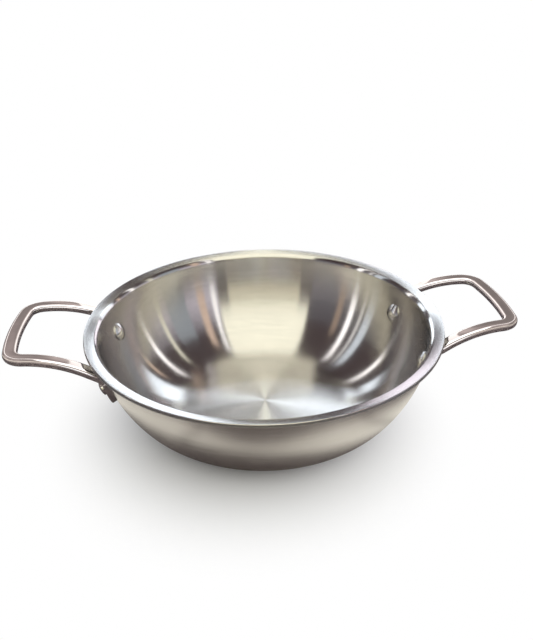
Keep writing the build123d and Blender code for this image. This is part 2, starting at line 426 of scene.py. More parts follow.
def geometry_tree(name: str, sizes: dict[str, str]) -> tuple[Graph, bpy.types.Node]:
    """Starts a Geometry Nodes tree.

    Args:
        name: the tree's name.
        sizes: the socket type of each named input that follows the geometry.

    Returns:
        The tree's graph and the node that gives its inputs.
    """
    tree = bpy.data.node_groups.new(name, "GeometryNodeTree")
    tree.interface.new_socket("Geometry", in_out="INPUT", socket_type="NodeSocketGeometry")
    for label, kind in sizes.items():
        tree.interface.new_socket(label, in_out="INPUT", socket_type=kind)
    tree.interface.new_socket("Geometry", in_out="OUTPUT", socket_type="NodeSocketGeometry")
    graph = Graph(tree)
    return graph, graph.node("NodeGroupInput")


def lathe_tree() -> bpy.types.NodeTree:
    """Makes the tree that turns a section, a line of points in the XZ plane, about the Z axis.

    Returns:
        The tree, new or from before.
    """
    made = bpy.data.node_groups.get("lathe")
    if made:
        return made
    graph, given = geometry_tree("lathe", {"Segments": "NodeSocketInt", "Material": "NodeSocketMaterial"})
    section, segments, material = (Signal(graph, given.outputs[label])
                                   for label in ("Geometry", "Segments", "Material"))
    count = graph.signal("GeometryNodeAttributeDomainSize", "Point Count", {"component": "MESH"},
                         {0: section})
    sheet = graph.signal("GeometryNodeMeshGrid", "Mesh", None,
                         {"Vertices X": segments + 1, "Vertices Y": count})
    index = graph.signal("GeometryNodeInputIndex")
    # The halves and tenths only keep whole numbers from being rounded down to the one before
    column = graph.math("FLOOR", (index + 0.5) / count)
    row = index - column * count
    place = graph.signal("GeometryNodeSampleIndex", "Value", {"data_type": "FLOAT_VECTOR"},
                         {"Geometry": section, "Value": graph.signal("GeometryNodeInputPosition"),
                          "Index": row + 0.1})
    turned = graph.signal("ShaderNodeVectorRotate", 0, {"rotation_type": "Z_AXIS"},
                          {"Vector": place, "Angle": column / segments * (2 * pi)})
    sheet = graph.signal("GeometryNodeSetPosition", 0, None, {"Geometry": sheet, "Position": turned})
    sheet = graph.signal("GeometryNodeMergeByDistance", 0, None, {"Geometry": sheet, "Distance": SEAM_GAP})
    whole = graph.signal("GeometryNodeRealizeInstances", 0, None, {"Geometry": sheet})
    finished = graph.signal("GeometryNodeSetMaterial", 0, None, {"Geometry": whole, "Material": material})
    graph.node("NodeGroupOutput", None, {"Geometry": finished})
    return graph.tree


def run_tree(name: str, points: list[Vector], tree: bpy.types.NodeTree, sizes: dict[str, Any],
             sharp_angle: float = 35.0) -> bpy.types.Object:
    """Runs a tree on a section and keeps the result as a plain closed mesh.

    Args:
        name: the finished piece's name.
        points: the section, as distance from the axis and height.
        tree: the Geometry Nodes tree.
        sizes: a value for each named input.
        sharp_angle: edges that bend by more than this stay crisp.

    Returns:
        The finished piece at the origin.
    """
    mesh = bpy.data.meshes.new(name + "_section")
    mesh.from_pydata([(point.x, 0, point.y) for point in points],
                     [(i, i + 1) for i in range(len(points) - 1)], [])
    source = bpy.data.objects.new(name + "_section", mesh)
    bpy.context.scene.collection.objects.link(source)
    modifier = source.modifiers.new("shape", "NODES")
    modifier.node_group = tree
    for item in tree.interface.items_tree:
        if item.in_out == "INPUT" and item.name in sizes:
            modifier[item.identifier] = sizes[item.name]
    evaluated = source.evaluated_get(bpy.context.evaluated_depsgraph_get())
    result = bpy.data.meshes.new_from_object(evaluated)
    source.modifiers.clear()
    bpy.data.objects.remove(source)
    return finished_piece(name, result, sharp_angle)


def finished_piece(name: str, mesh: bpy.types.Mesh, sharp_angle: float) -> bpy.types.Object:
    """Turns a mesh's faces outward, smooths it and links it as a piece of the kadai.

    Args:
        name: the piece's name.
        mesh: its mesh.
        sharp_angle: edges that bend by more than this stay crisp.

    Returns:
        The piece.
    """
    mesh.name = name
    work = bmesh.new()
    work.from_mesh(mesh)
    bmesh.ops.remove_doubles(work, verts=work.verts, dist=DOUBLE_GAP)
    bmesh.ops.recalc_face_normals(work, faces=work.faces)
    for face in work.faces:
        face.smooth = True
    work.to_mesh(mesh)
    work.free()
    mesh.set_sharp_from_angle(angle=radians(sharp_angle))
    piece = bpy.data.objects.new(name, mesh)
    bpy.context.scene.collection.objects.link(piece)
    return piece


def fit(piece: bpy.types.Object, slot: str, *nodes: str) -> bpy.types.Object:
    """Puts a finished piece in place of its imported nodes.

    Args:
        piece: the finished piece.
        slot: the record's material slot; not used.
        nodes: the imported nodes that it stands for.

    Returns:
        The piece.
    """
    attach(piece, BODY)
    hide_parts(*nodes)
    LOG.info("%s: %d faces for %s", piece.name, len(piece.data.polygons), ", ".join(nodes))
    return piece


def outward(slope: float) -> Vector:
    """Direction in section, square to the wall and away from the bowl, where it has this slope."""
    return Vector((sin(radians(slope)), -cos(radians(slope))))


def along(slope: float) -> Vector:
    """Direction in section, up along the wall, where it has this slope."""
    return Vector((cos(radians(slope)), sin(radians(slope))))


def arc(centre: Vector, radius: float, first: float, last: float, steps: int) -> list[Vector]:
    """Points of the wall on an arc between two slopes, both ends among them."""
    return [centre + outward(first + (last - first) * i / steps) * radius for i in range(steps + 1)]


@dataclass
class Bowl:
    """The bowl, pressed from three bonded sheets."""

    rim_radius: float = 0.110
    height: float = 0.065
    flat_radius: float = 0.050
    lower_slope: float = 56.0
    neck_slope: float = 85.0
    lip_slope: float = 12.0
    lip_length: float = 0.0054
    lip_bend: float = 0.0015
    inner_steel: float = 0.0004
    core: float = 0.0012
    outer_steel: float = 0.0004
    core_recess: float = 0.0001
    edge_round: float = 0.0003
    segments: int = 288
    flat_rings: int = 16
    lower_rings: int = 22
    upper_rings: int = 16
    bend_rings: int = 8
    round_rings: int = 5
    wall: float = field(init=False)
    lower_radius: float = field(init=False)
    upper_radius: float = field(init=False)
    lower_centre: Vector = field(init=False)
    upper_centre: Vector = field(init=False)
    rim_corner: Vector = field(init=False)
    lip_centre: Vector = field(init=False)

    def __post_init__(self) -> None:
        """Finds the two arcs that lead from the flat of the base to the neck without a kink."""
        self.wall = self.inner_steel + self.core + self.outer_steel
        self.rim_corner = Vector((self.rim_radius, self.height - self.wall * cos(radians(self.lip_slope))))
        self.lip_centre = (self.rim_corner - along(self.lip_slope) * self.lip_length
                           + outward(self.lip_slope) * self.lip_bend)
        neck = self.lip_centre - outward(self.neck_slope) * self.lip_bend
        lower = outward(self.lower_slope) - outward(0)
        upper = outward(self.neck_slope) - outward(self.lower_slope)
        span = neck - Vector((self.flat_radius, 0))
        product = lower.x * upper.y - upper.x * lower.y
        self.lower_radius = (span.x * upper.y - span.y * upper.x) / product
        self.upper_radius = (span.y * lower.x - span.x * lower.y) / product
        self.lower_centre = Vector((self.flat_radius, self.lower_radius))
        step_in = self.lower_radius - self.upper_radius
        self.upper_centre = self.lower_centre + outward(self.lower_slope) * step_in

    def face(self, depth: float, recess: float = 0.0) -> list[Vector]:
        """Section of a face from the axis to the cut edge.

        Args:
            depth: how far the face lies inward from the outside.
            recess: how far it stops short of the cut edge.

        Returns:
            Points as distance from the axis and height.
        """
        flat = [Vector((self.flat_radius * i / self.flat_rings, depth)) for i in range(self.flat_rings)]
        lower = arc(self.lower_centre, self.lower_radius - depth, 0, self.lower_slope, self.lower_rings)
        upper = arc(self.upper_centre, self.upper_radius - depth, self.lower_slope, self.neck_slope,
                    self.upper_rings)
        bend = arc(self.lip_centre, -self.lip_bend - depth, self.neck_slope, self.lip_slope, self.bend_rings)
        edge = self.rim_corner - outward(self.lip_slope) * depth - along(self.lip_slope) * recess
        return flat + lower + upper[1:] + bend[1:] + [bend[-1].lerp(edge, 0.5), edge]

    def rounded_corner(self, depth: float) -> list[Vector]:
        """Section of a rounded corner of the cut edge, from its face to the edge.

        Args:
            depth: 0 for the outside's corner, the full wall for the inside's.

        Returns:
            Points as distance from the axis and height.
        """
        to_edge = along(self.lip_slope)
        to_middle = outward(self.lip_slope) * (-1 if depth == 0 else 1)
        corner = self.rim_corner - outward(self.lip_slope) * depth
        centre = corner - to_edge * self.edge_round + to_middle * self.edge_round
        points = []
        for i in range(self.round_rings + 1):
            turn = pi / 2 * i / self.round_rings
            points.append(centre + (to_edge * sin(turn) - to_middle * cos(turn)) * self.edge_round)
        return points

    def layer(self, name: str, slot: str, finish: Finish, outside: float, inside: float,
              recess: float = 0.0) -> bpy.types.Object:
        """Turns one bonded sheet.

        Args:
            name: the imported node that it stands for.
            slot: the record's material slot.
            finish: its finish.
            outside: depth of its outside face.
            inside: depth of its inside face.
            recess: how far it stops short of the cut edge.

        Returns:
            The finished piece.
        """
        outer = self.face(outside, recess)
        inner = self.face(inside, recess)
        if outside == 0:
            outer = outer[:-1] + self.rounded_corner(outside)
        if inside == self.wall:
            inner = inner[:-1] + self.rounded_corner(inside)
        piece = run_tree(name + "_turned", outer + inner[::-1], lathe_tree(),
                         {"Segments": self.segments, "Material": finish.material()})
        return fit(piece, slot, name)

    def build(self) -> list[bpy.types.Object]:
        """Makes the three sheets.

        Returns:
            The sheets, from the outside in.
        """
        core_depth = self.outer_steel
        inner_depth = self.outer_steel + self.core
        return [
            self.layer("outer_layer", "outer_steel", Steel.OUTSIDE.value, 0.0, core_depth),
            self.layer("core_layer", "aluminium_core", Steel.CORE.value, core_depth, inner_depth,
                       self.core_recess),
            self.layer("inner_layer", "inner_steel", Steel.INSIDE.value, inner_depth, self.wall),
        ]


class Side(Enum):
    """The two ends of the kadai, as the sign of X."""

    LEFT = -1
    RIGHT = 1


@dataclass
class Rivets:
    """The four rivets, with a domed head inside the bowl and a formed tail on each lug."""

    bowl: Bowl
    spacing: float = 0.062
    depth: float = 0.0205
    shank_radius: float = 0.0025
    head_radius: float = 0.00575
    head_height: float = 0.0028
    head_edge: float = 0.0009
    tail_radius: float = 0.00425
    tail_height: float = 0.0020
    tail_edge: float = 0.0010
    seat_gap: float = 0.00005
    lug_thickness: float = 0.003
    on_each_side: int = 2
    dome_steps: int = 14
    segments: int = 48
    sharp_angle: float = 50.0
    slope: float = field(init=False)
    seat: Vector = field(init=False)
    bearing: float = field(init=False)

    def __post_init__(self) -> None:
        """Finds where a rivet stands on the inner face of the wall."""
        reach = self.bowl.upper_radius - self.bowl.wall
        self.slope = degrees(acos((self.bowl.upper_centre.y - self.bowl.height + self.depth) / reach))
        self.seat = self.bowl.upper_centre + outward(self.slope) * reach
        self.bearing = degrees(asin(self.spacing / 2 / self.seat.x))

    def dome(self, radius: float, edge: float, height: float) -> list[Vector]:
        """Section of a button's dome, part of a ball.

        Args:
            radius: the button's radius.
            edge: height of its upright edge, where the dome starts.
            height: height of the dome's top.

        Returns:
            Points as distance from the rivet's axis and height, from the top down to the edge.
        """
        rise = height - edge
        ball = (radius * radius + rise * rise) / (2 * rise)
        reach = asin(radius / ball)
        return [Vector((ball * sin(reach * i / self.dome_steps),
                        height - ball + ball * cos(reach * i / self.dome_steps)))
                for i in range(self.dome_steps + 1)]

    def section(self) -> list[Vector]:
        """Section of a rivet along its own axis.

        Returns:
            Points as distance from that axis and height, from the top of the head to the end of the tail.
        """
        inner_face = self.seat_gap + self.head_radius ** 2 / (2 * self.bowl.upper_radius)
        tail_face = -(self.bowl.wall + self.lug_thickness + 2 * self.seat_gap)
        head = self.dome(self.head_radius, self.head_edge, self.head_height)
        tail = self.dome(self.tail_radius, self.tail_edge, self.tail_height)
        tail = [Vector((point.x, tail_face - point.y)) for point in reversed(tail)]
        return [
            *head,
            Vector((self.head_radius, inner_face)),
            Vector((self.shank_radius, inner_face)),
            Vector((self.shank_radius, tail_face)),
            Vector((self.tail_radius, tail_face)),
            *tail,
        ]

    def tree(self) -> bpy.types.NodeTree:
        """Makes the tree that turns one rivet and sets it in all four places.

        Returns:
            The tree.
        """
        graph, given = geometry_tree("four_rivets", {
            "Segments": "NodeSocketInt", "Seat Radius": "NodeSocketFloat", "Seat Height": "NodeSocketFloat",
            "Bearing": "NodeSocketFloat", "Slope": "NodeSocketFloat", "Material": "NodeSocketMaterial",
        })
        sizes = {socket.name: Signal(graph, socket) for socket in given.outputs if socket.name}
        turned = graph.signal("GeometryNodeGroup", 0, {"node_tree": lathe_tree()},
                              {label: sizes[label] for label in ("Geometry", "Segments", "Material")})
        points = graph.signal("GeometryNodePoints", 0, None, {"Count": len(Side) * self.on_each_side})
        index = graph.signal("GeometryNodeInputIndex")
        left = graph.math("GREATER_THAN", index, self.on_each_side - 0.5)
        front = graph.math("FLOORED_MODULO", index, self.on_each_side)
        bearing = left * pi + sizes["Bearing"] * (1 - front * 2) * (1 - left * 2)
        place = graph.vector(graph.math("COSINE", bearing) * sizes["Seat Radius"],
                             graph.math("SINE", bearing) * sizes["Seat Radius"], sizes["Seat Height"])
        points = graph.signal("GeometryNodeSetPosition", 0, None, {"Geometry": points, "Position": place})
        turn = graph.vector(0.0, sizes["Slope"] * -1, bearing)
        placed = graph.signal("GeometryNodeInstanceOnPoints", 0, None,
                              {"Points": points, "Instance": turned, "Rotation": turn})
        whole = graph.signal("GeometryNodeRealizeInstances", 0, None, {"Geometry": placed})
        finished = graph.signal("GeometryNodeSetMaterial", 0, None,
                                {"Geometry": whole, "Material": sizes["Material"]})
        graph.node("NodeGroupOutput", None, {"Geometry": finished})
        return graph.tree

    def build(self) -> bpy.types.Object:
        """Makes the four rivets.

        Returns:
            All of them as one piece.
        """
        piece = run_tree("rivets_turned", self.section(), self.tree(), {
            "Segments": self.segments, "Seat Radius": self.seat.x, "Seat Height": self.seat.y,
            "Bearing": radians(self.bearing), "Slope": radians(self.slope),
            "Material": Steel.RIVET.value.material(),
        }, self.sharp_angle)
        return fit(piece, "polished_rivets", *(f"rivet_{side}_{end}" for side in ("left", "right")
                                               for end in ("front", "back")))


@dataclass
class Station:
    """One cross-section of a handle: where it is, which way it faces and how large it is."""

    place: Vector
    across: Vector
    heading: Vector
    width: float
    inside: float
    outside: float
    corner: float


@dataclass
class LoopHandle:
    """A loop handle: a bent bar whose two arms turn down into lugs on the wall."""

    bowl: Bowl
    rivets: Rivets
    side: Side
    grip_depth: float = 0.0403
    bar_lift: float = 0.0007
    bar_width: float = 0.0084
    bar_thickness: float = 0.0050
    bar_round: float = 0.0022
    bow_radius: float = 0.170
    corner_radius: float = 0.010
    arm_spacing: float = 0.066
    arm_splay: float = 5.4
    arm_drop: float = 0.0094
    lug_width: float = 0.0145
    lug_rise: float = 0.0055
    lug_drop: float = 0.0035
    lug_round: float = 0.0008
    round_share: float = 0.45
    root_pull: float = 0.0040
    bow_steps: int = 20
    corner_steps: int = 12
    arm_steps: int = 26
    root_steps: int = 14
    lug_steps: int = 6
    end_steps: int = 12
    corner_points: int = 7
    sharp_angle: float = 60.0

    def level(self, angle: float) -> Vector:
        """Level direction at this angle from +X."""
        return Vector((cos(radians(angle)), sin(radians(angle)), 0))

    def at_rivet(self, section: Vector) -> Vector:
        """A point or direction of the section, turned to the bearing of the back rivet."""
        return Matrix.Rotation(radians(self.rivets.bearing), 3, "Z") @ Vector((section.x, 0, section.y))

    def bar_station(self, place: Vector, across: Vector, heading: Vector) -> Station:
        """A cross-section of the plain bar."""
        half = self.bar_thickness / 2
        return Station(place, across, heading, self.bar_width, half, half, self.bar_round)

    def lug_station(self, rise: float, width: float) -> Station:
        """A cross-section of the lug.

        Args:
            rise: how far up the wall from the rivet it lies.
            width: how wide the lug is there.

        Returns:
            The cross-section.
        """
        slope = self.rivets.slope + degrees(rise / (self.bowl.upper_radius - self.bowl.wall))
        half = self.rivets.lug_thickness / 2
        place = self.at_rivet(self.bowl.upper_centre + outward(slope)
                              * (self.bowl.upper_radius + self.rivets.seat_gap + half))
        inside = half + self.rivets.seat_gap + self.bowl.wall / 2
        return Station(place, self.level(90 + self.rivets.bearing), -self.at_rivet(along(slope)),
                       width, inside, half, self.lug_round)

    def root_stations(self, start: Station, end: Station) -> list[Station]:
        """Cross-sections on the curve from the arm down to the lug.

        Args:
            start: the end of the arm.
            end: the top of the lug.

        Returns:
            Those between the two.
        """
        pulls = [start.place, start.place + start.heading * self.root_pull,
                 end.place - end.heading * self.root_pull, end.place]
        stations = []
        for i in range(1, self.root_steps):
            share = i / self.root_steps
            rest = 1 - share
            eased = share * share * (3 - 2 * share)
            weights = [rest ** 3, 3 * rest ** 2 * share, 3 * rest * share ** 2, share ** 3]
            place = sum((pull * weight for pull, weight in zip(pulls, weights)), Vector((0, 0, 0)))
            heading = ((pulls[1] - pulls[0]) * rest ** 2 + (pulls[2] - pulls[1]) * (2 * rest * share)
                       + (pulls[3] - pulls[2]) * share ** 2).normalized()
            sideways = start.across.lerp(end.across, eased)
            across = (sideways - heading * sideways.dot(heading)).normalized()
            sizes = [getattr(start, size) * (1 - eased) + getattr(end, size) * eased
                     for size in ("width", "inside", "outside", "corner")]
            stations.append(Station(place, across, heading, *sizes))
        return stations

    def bar_stations(self) -> list[Station]:
        """Cross-sections of the bar's bow, its back corner and the back arm.

        Returns:
            Those from the middle of the bar to the end of the arm.
        """
        level_height = self.bowl.height + self.bar_lift
        bow_centre = Vector((self.bowl.rim_radius + self.grip_depth - self.bow_radius, 0, level_height))
        corner_side = self.arm_spacing / 2 - self.corner_radius * cos(radians(self.arm_splay))
        bow_angle = degrees(asin(corner_side / (self.bow_radius - self.corner_radius)))
        corner_centre = bow_centre + self.level(bow_angle) * (self.bow_radius - self.corner_radius)
        stations = []
        for i in range(self.bow_steps):
            angle = bow_angle * i / self.bow_steps
            stations.append(self.bar_station(bow_centre + self.level(angle) * self.bow_radius,
                                             self.level(angle), self.level(angle + 90)))
        for i in range(self.corner_steps):
            angle = bow_angle + (90 - self.arm_splay - bow_angle) * i / self.corner_steps
            stations.append(self.bar_station(corner_centre + self.level(angle) * self.corner_radius,
                                             self.level(angle), self.level(angle + 90)))
        arm_start = corner_centre + self.level(90 - self.arm_splay) * self.corner_radius
        arm_heading = self.level(180 - self.arm_splay)
        neck = self.bowl.lip_centre - outward(self.bowl.neck_slope) * self.bowl.lip_bend
        run = (arm_start.x - neck.x) / cos(radians(self.arm_splay))
        end_slope = 2 * degrees(atan2(self.arm_drop, run))
        drop_radius = run / sin(radians(end_slope))
        for i in range(self.arm_steps + 1):
            slope = radians(end_slope * i / self.arm_steps)
            place = arm_start + (arm_heading * sin(slope) - UP * (1 - cos(slope))) * drop_radius
            stations.append(self.bar_station(place, self.level(90 - self.arm_splay),
                                             arm_heading * cos(slope) - UP * sin(slope)))
        return stations

    def half_stations(self) -> list[Station]:
        """Cross-sections of the back half of the handle.

        Returns:
            Those from the middle of the bar to the end of the lug.
        """
        stations = self.bar_stations()
        lug_top = self.lug_station(self.lug_rise, self.lug_width)
        stations += self.root_stations(stations[-1], lug_top)
        for i in range(self.lug_steps):
            rise = self.lug_rise - (self.lug_rise + self.lug_drop) * i / self.lug_steps
            stations.append(self.lug_station(rise, self.lug_width))
        for i in range(self.end_steps):
            angle = pi / 2 * i / self.end_steps
            stations.append(self.lug_station(-self.lug_drop - self.lug_width / 2 * sin(angle),
                                             self.lug_width * cos(angle)))
        return stations

    def ring(self, station: Station) -> list[Vector]:
        """Rounds one cross-section and keeps it clear of the bowl's wall.

        Args:
            station: the cross-section.

        Returns:
            The points round it.
        """
        thickness = station.inside + station.outside
        corner = min(station.corner, station.width * self.round_share, thickness * self.round_share)
        away = station.heading.cross(station.across)
        middle = (station.outside - station.inside) / 2
        points = []
        for quarter, (right, up) in enumerate(((1, 1), (-1, 1), (-1, -1), (1, -1))):
            for i in range(self.corner_points):
                angle = pi / 2 * (quarter + i / (self.corner_points - 1))
                sideways = (station.width / 2 - corner) * right + corner * cos(angle)
                outside = (thickness / 2 - corner) * up + corner * sin(angle)
                points.append(station.place + station.across * sideways + away * (middle + outside))
        return [self.off_the_wall(point) for point in points]

    def off_the_wall(self, point: Vector) -> Vector:
        """Moves a point that lies within the wall out to the wall's outside face.

        Args:
            point: any point of the handle.

        Returns:
            The point itself, or its new place.
        """
        distance = hypot(point.x, point.y)
        offset = Vector((distance, point.z)) - self.bowl.upper_centre
        least = self.bowl.upper_radius + self.rivets.seat_gap
        if offset.length >= least:
            return point
        moved = self.bowl.upper_centre + offset.normalized() * least
        return Vector((point.x * moved.x / distance, point.y * moved.x / distance, moved.y))

    def build(self) -> bpy.types.Object:
        """Makes the handle of this side as one closed skin.

        Returns:
            The handle.
        """
        back = self.half_stations()
        rings = [self.ring(station) for station in back]
        flipped = [[Vector((point.x, -point.y, point.z)) for point in ring] for ring in rings[1:]]
        rings = flipped[::-1] + rings
        count = len(rings[0])
        points = [Vector((point.x * self.side.value, point.y, point.z)) for ring in rings for point in ring]
        faces = [list(range(count)), [len(points) - count + i for i in range(count)]]
        for row in range(len(rings) - 1):
            for i in range(count):
                corners = [row * count + i, row * count + (i + 1) % count]
                faces.append(corners + [corners[1] + count, corners[0] + count])
        name = f"handle_{self.side.name.lower()}"
        mesh = bpy.data.meshes.new(name + "_bent")
        mesh.from_pydata(points, [], faces)
        mesh.materials.append(Steel.HANDLE.value.material())
        return fit(finished_piece(name + "_bent", mesh, self.sharp_angle), "polished_handles", name)


@dataclass(frozen=True)
class Glow(Finish):
    """A plain light-giving cloth."""

    name: str
    colour: Colour
    radiance: float

    def shade(self, graph: Graph) -> Signal:
        """Adds the glow."""
        return graph.glow(self.colour, self.radiance)


@dataclass(frozen=True)
class Veil(Glow):
    """A thin cloth with softly patchy light, which lets what is behind it show."""

    patchiness: float = 0.0
    patch_scale: float = 4.0
    contrast: tuple[float, float] = (0.35, 0.65)

    def shade(self, graph: Graph) -> Signal:
        """Adds the patchy glow to a clear sheet.

        Args:
            graph: the material's tree.

        Returns:
            The shader.
        """
        patches = graph.clamped(graph.noise(graph.place(), scale=self.patch_scale, detail=COARSE),
                                *self.contrast)
        strength = (1 - self.patchiness) + patches * (2 * self.patchiness)
        return graph.clear_glow(self.colour, strength * self.radiance)


@dataclass(frozen=True)
class Arch:
    """A curved soft box, shaped so that its mirror image fills a patch of the bowl's inside.

    Bearings on the wall are 0 at the far middle and 90 at the right. Slopes are the wall's own.
    The distance is from the wall, and an arch hides what hangs further off.
    """

    name: str
    bearings: tuple[float, float]
    slopes: tuple[float, float]
    radiance: float
    colour: Colour
    distance: float = 1.0


@dataclass(frozen=True)
class Stripe:
    """A curved soft box, shaped so that its mirror image is a line along each handle's bar.

    Tilts are the bar surface's own: 0 on its top and 90 on the side that faces out of the loop.
    """

    name: str
    tilts: tuple[float, float]
    radiance: float
    colour: Colour


WARM: Colour = (0.98, 0.96, 0.79)
BEIGE: Colour = (1.0, 0.93, 0.68)
PEACH: Colour = (1.0, 0.76, 0.6)
PLAIN: Colour = (1.0, 0.98, 0.97)
COOL: Colour = (0.84, 0.92, 1.0)
LILAC: Colour = (0.96, 0.9, 1.0)


@dataclass(frozen=True)
class Studio:
    """The camera, the floor, the room and the soft boxes.

    The room is white to the camera and dim to the steel, as the room of the photograph was. The
    arches light the bowl and the rivets, the stripes and the haze the handles, and the sheen on the
    floor the outside of the bowl.
    """

    bowl: Bowl
    handles: tuple[LoopHandle, ...]
    target: Triple = (0.0, 0.0, 0.065)
    camera_bearing: float = -6.035
    camera_elevation: float = 28.21
    camera_distance: float = 0.4174
    camera_roll: float = -1.094
    lens: float = 37.68
    shift: tuple[float, float] = (0.0046, -0.005)
    floor_radius: float = 9.0
    sheen_radius: float = 0.2
    sheen_height: float = 0.0002
    room: Colour = (0.098, 0.074, 0.076)
    stripe_distance: float = 0.5
    arch_steps: int = 10
    stripe_steps: int = 4
    disc_segments: int = 96
    haze_segments: tuple[int, int] = (24, 12)
    arches: tuple[Arch, ...] = (
        Arch("ceiling", (-15.0, 28.0), (0.0, 61.5), 1.65, WARM),
        Arch("ceiling_end", (-10.0, 23.0), (61.5, 72.0), 0.85, BEIGE),
        Arch("left_window", (-84.0, -70.5), (20.0, 45.0), 2.0, COOL),
        Arch("left_sill", (-84.0, -70.5), (0.0, 20.0), 3.0, COOL),
        Arch("left_wall", (-112.0, -86.0), (20.0, 46.0), 2.0, LILAC),
        Arch("left_screen", (-112.0, -71.0), (46.0, 80.0), 2.0, LILAC),
        Arch("left_back", (-70.5, -15.0), (60.0, 84.0), 0.85, LILAC, 1.2),
        Arch("left_deep", (-70.5, -15.0), (48.0, 60.0), 0.4, LILAC, 1.2),
        Arch("right_back", (28.5, 103.0), (66.0, 84.0), 0.3, LILAC, 1.2),
        Arch("right_deep", (28.5, 103.0), (52.0, 66.0), 0.16, LILAC, 1.2),
        Arch("left_edge", (-67.0, -65.5), (30.0, 70.0), 1.2, PEACH),
        Arch("left_tube", (-57.6, -55.4), (16.0, 72.0), 2.4, PLAIN),
        Arch("left_frame", (-46.5, -44.5), (26.0, 72.0), 1.3, WARM),
        Arch("left_door", (-41.0, -31.0), (44.0, 72.0), 0.55, COOL),
        Arch("left_curtain", (-25.0, -21.5), (30.0, 72.0), 1.0, PEACH),
        Arch("left_slit", (-18.2, -16.2), (20.0, 72.0), 1.9, PLAIN),
        Arch("right_curtain", (42.0, 45.0), (45.0, 72.0), 0.5, PEACH),
        Arch("right_tube", (48.5, 51.0), (18.0, 72.0), 2.4, PLAIN),
        Arch("right_frame", (54.5, 56.0), (20.0, 72.0), 1.2, PLAIN),
        Arch("right_door", (57.5, 61.5), (20.0, 72.0), 1.2, COOL),
        Arch("right_slit", (77.5, 80.0), (14.0, 68.0), 2.4, PLAIN),
        Arch("right_pane", (87.5, 94.5), (20.0, 64.0), 2.2, COOL),
        Arch("right_window", (103.0, 132.0), (14.0, 38.0), 3.0, COOL),
        Arch("right_sill", (103.0, 132.0), (0.0, 14.0), 1.4, COOL),
    )
    stripes: tuple[Stripe, ...] = (
        Stripe("outer_stripe", (9.0, 17.0), 1.05, PLAIN),
        Stripe("inner_stripe", (-49.0, -27.0), 1.05, PLAIN),
        Stripe("low_stripe", (52.0, 58.0), 0.8, WARM),
        Stripe("deep_stripe", (-72.0, -64.0), 0.7, COOL),
    )
    haze: Veil = Veil("haze_glow", (0.47, 0.4, 0.385), 1.0, 0.35)
    haze_radius: float = 0.7

    def direction(self, bearing: float, elevation: float) -> Vector:
        """Direction from the target: bearing 0 is the front, 90 the right."""
        level = Vector((sin(radians(bearing)), -cos(radians(bearing)), 0))
        return level * cos(radians(elevation)) + UP * sin(radians(elevation))

    def eye(self) -> Vector:
        """Place of the camera."""
        back = self.direction(self.camera_bearing, self.camera_elevation)
        return Vector(self.target) + back * self.camera_distance

    def build_camera(self) -> None:
        """Sets the camera at the photograph's angle."""
        data = bpy.data.cameras.new("camera")
        data.lens = self.lens
        data.shift_x, data.shift_y = self.shift
        camera = bpy.data.objects.new("camera", data)
        turn = self.direction(self.camera_bearing, self.camera_elevation).to_track_quat("Z", "Y")
        roll = Matrix.Rotation(radians(self.camera_roll), 4, "Z")
        camera.matrix_world = Matrix.Translation(self.eye()) @ turn.to_matrix().to_4x4() @ roll
        bpy.context.scene.collection.objects.link(camera)
        bpy.context.scene.camera = camera

    def wall_spot(self, bearing: float, slope: float) -> Spot:
        """Finds a spot on the bowl's inside.

        Args:
            bearing: where it lies round the bowl.
            slope: the wall's slope there.

        Returns:
            Its place and the direction square to it.
        """
        bowl = self.bowl
        if slope < bowl.lower_slope:
            section = bowl.lower_centre + outward(slope) * (bowl.lower_radius - bowl.wall)
        else:
            section = bowl.upper_centre + outward(slope) * (bowl.upper_radius - bowl.wall)
        facing = Vector((-sin(radians(bearing)), -cos(radians(bearing)), 0))
        return (UP * section.y - facing * section.x,
                facing * sin(radians(slope)) + UP * cos(radians(slope)))

    def arch_spots(self, arch: Arch) -> list[list[Spot]]:
        """Finds where an arch shows on the wall.

        Args:
            arch: the arch.

        Returns:
            A grid of spots.
        """
        shares = [i / self.arch_steps for i in range(self.arch_steps + 1)]
        slopes = [arch.slopes[0] + (arch.slopes[1] - arch.slopes[0]) * share for share in shares]
        bearings = [arch.bearings[0] + (arch.bearings[1] - arch.bearings[0]) * share for share in shares]
        return [[self.wall_spot(bearing, slope) for bearing in bearings] for slope in slopes]

    def stripe_spots(self, stripe: Stripe, handle: LoopHandle) -> list[list[Spot]]:
        """Finds where a stripe shows on a handle's bar.

        Args:
            stripe: the stripe.
            handle: the handle.

        Returns:
            A grid of spots, from the front arm round to the back one.
        """
        flip = Vector((handle.side.value, 1, 1))
        to_front = Vector((1, -1, 1))
        rows = []
        for i in range(self.stripe_steps + 1):
            tilt = radians(stripe.tilts[0] + (stripe.tilts[1] - stripe.tilts[0]) * i / self.stripe_steps)
            back = []
            for station in handle.bar_stations():
                normal = station.across * sin(tilt) + station.across.cross(station.heading) * cos(tilt)
                back.append((station.place * flip, normal * flip))
            front = [(place * to_front, normal * to_front) for place, normal in back[1:]]
            rows.append(front[::-1] + back)
        return rows

    def hang(self, name: str, glow: Finish, rows: list[list[Spot]], distance: float,
             lit: bpy.types.Collection) -> None:
        """Hangs one curved soft box whose mirror image fills a patch of steel.

        Args:
            name: its name.
            glow: its finish.
            rows: a grid of spots on the steel.
            distance: how far from each of these places it hangs.
            lit: the pieces that it lights.
        """
        eye = self.eye()
        points = []
        for place, normal in (spot for row in rows for spot in row):
            view = (eye - place).normalized()
            points.append(place + (normal * (2 * view.dot(normal)) - view) * distance)
        width = len(rows[0])
        corners = [i * width + j for i in range(len(rows) - 1) for j in range(width - 1)]
        mesh = bpy.data.meshes.new(name)
        mesh.from_pydata(points, [], [(k, k + 1, k + width + 1, k + width) for k in corners])
        self.light(name, mesh, glow, lit)

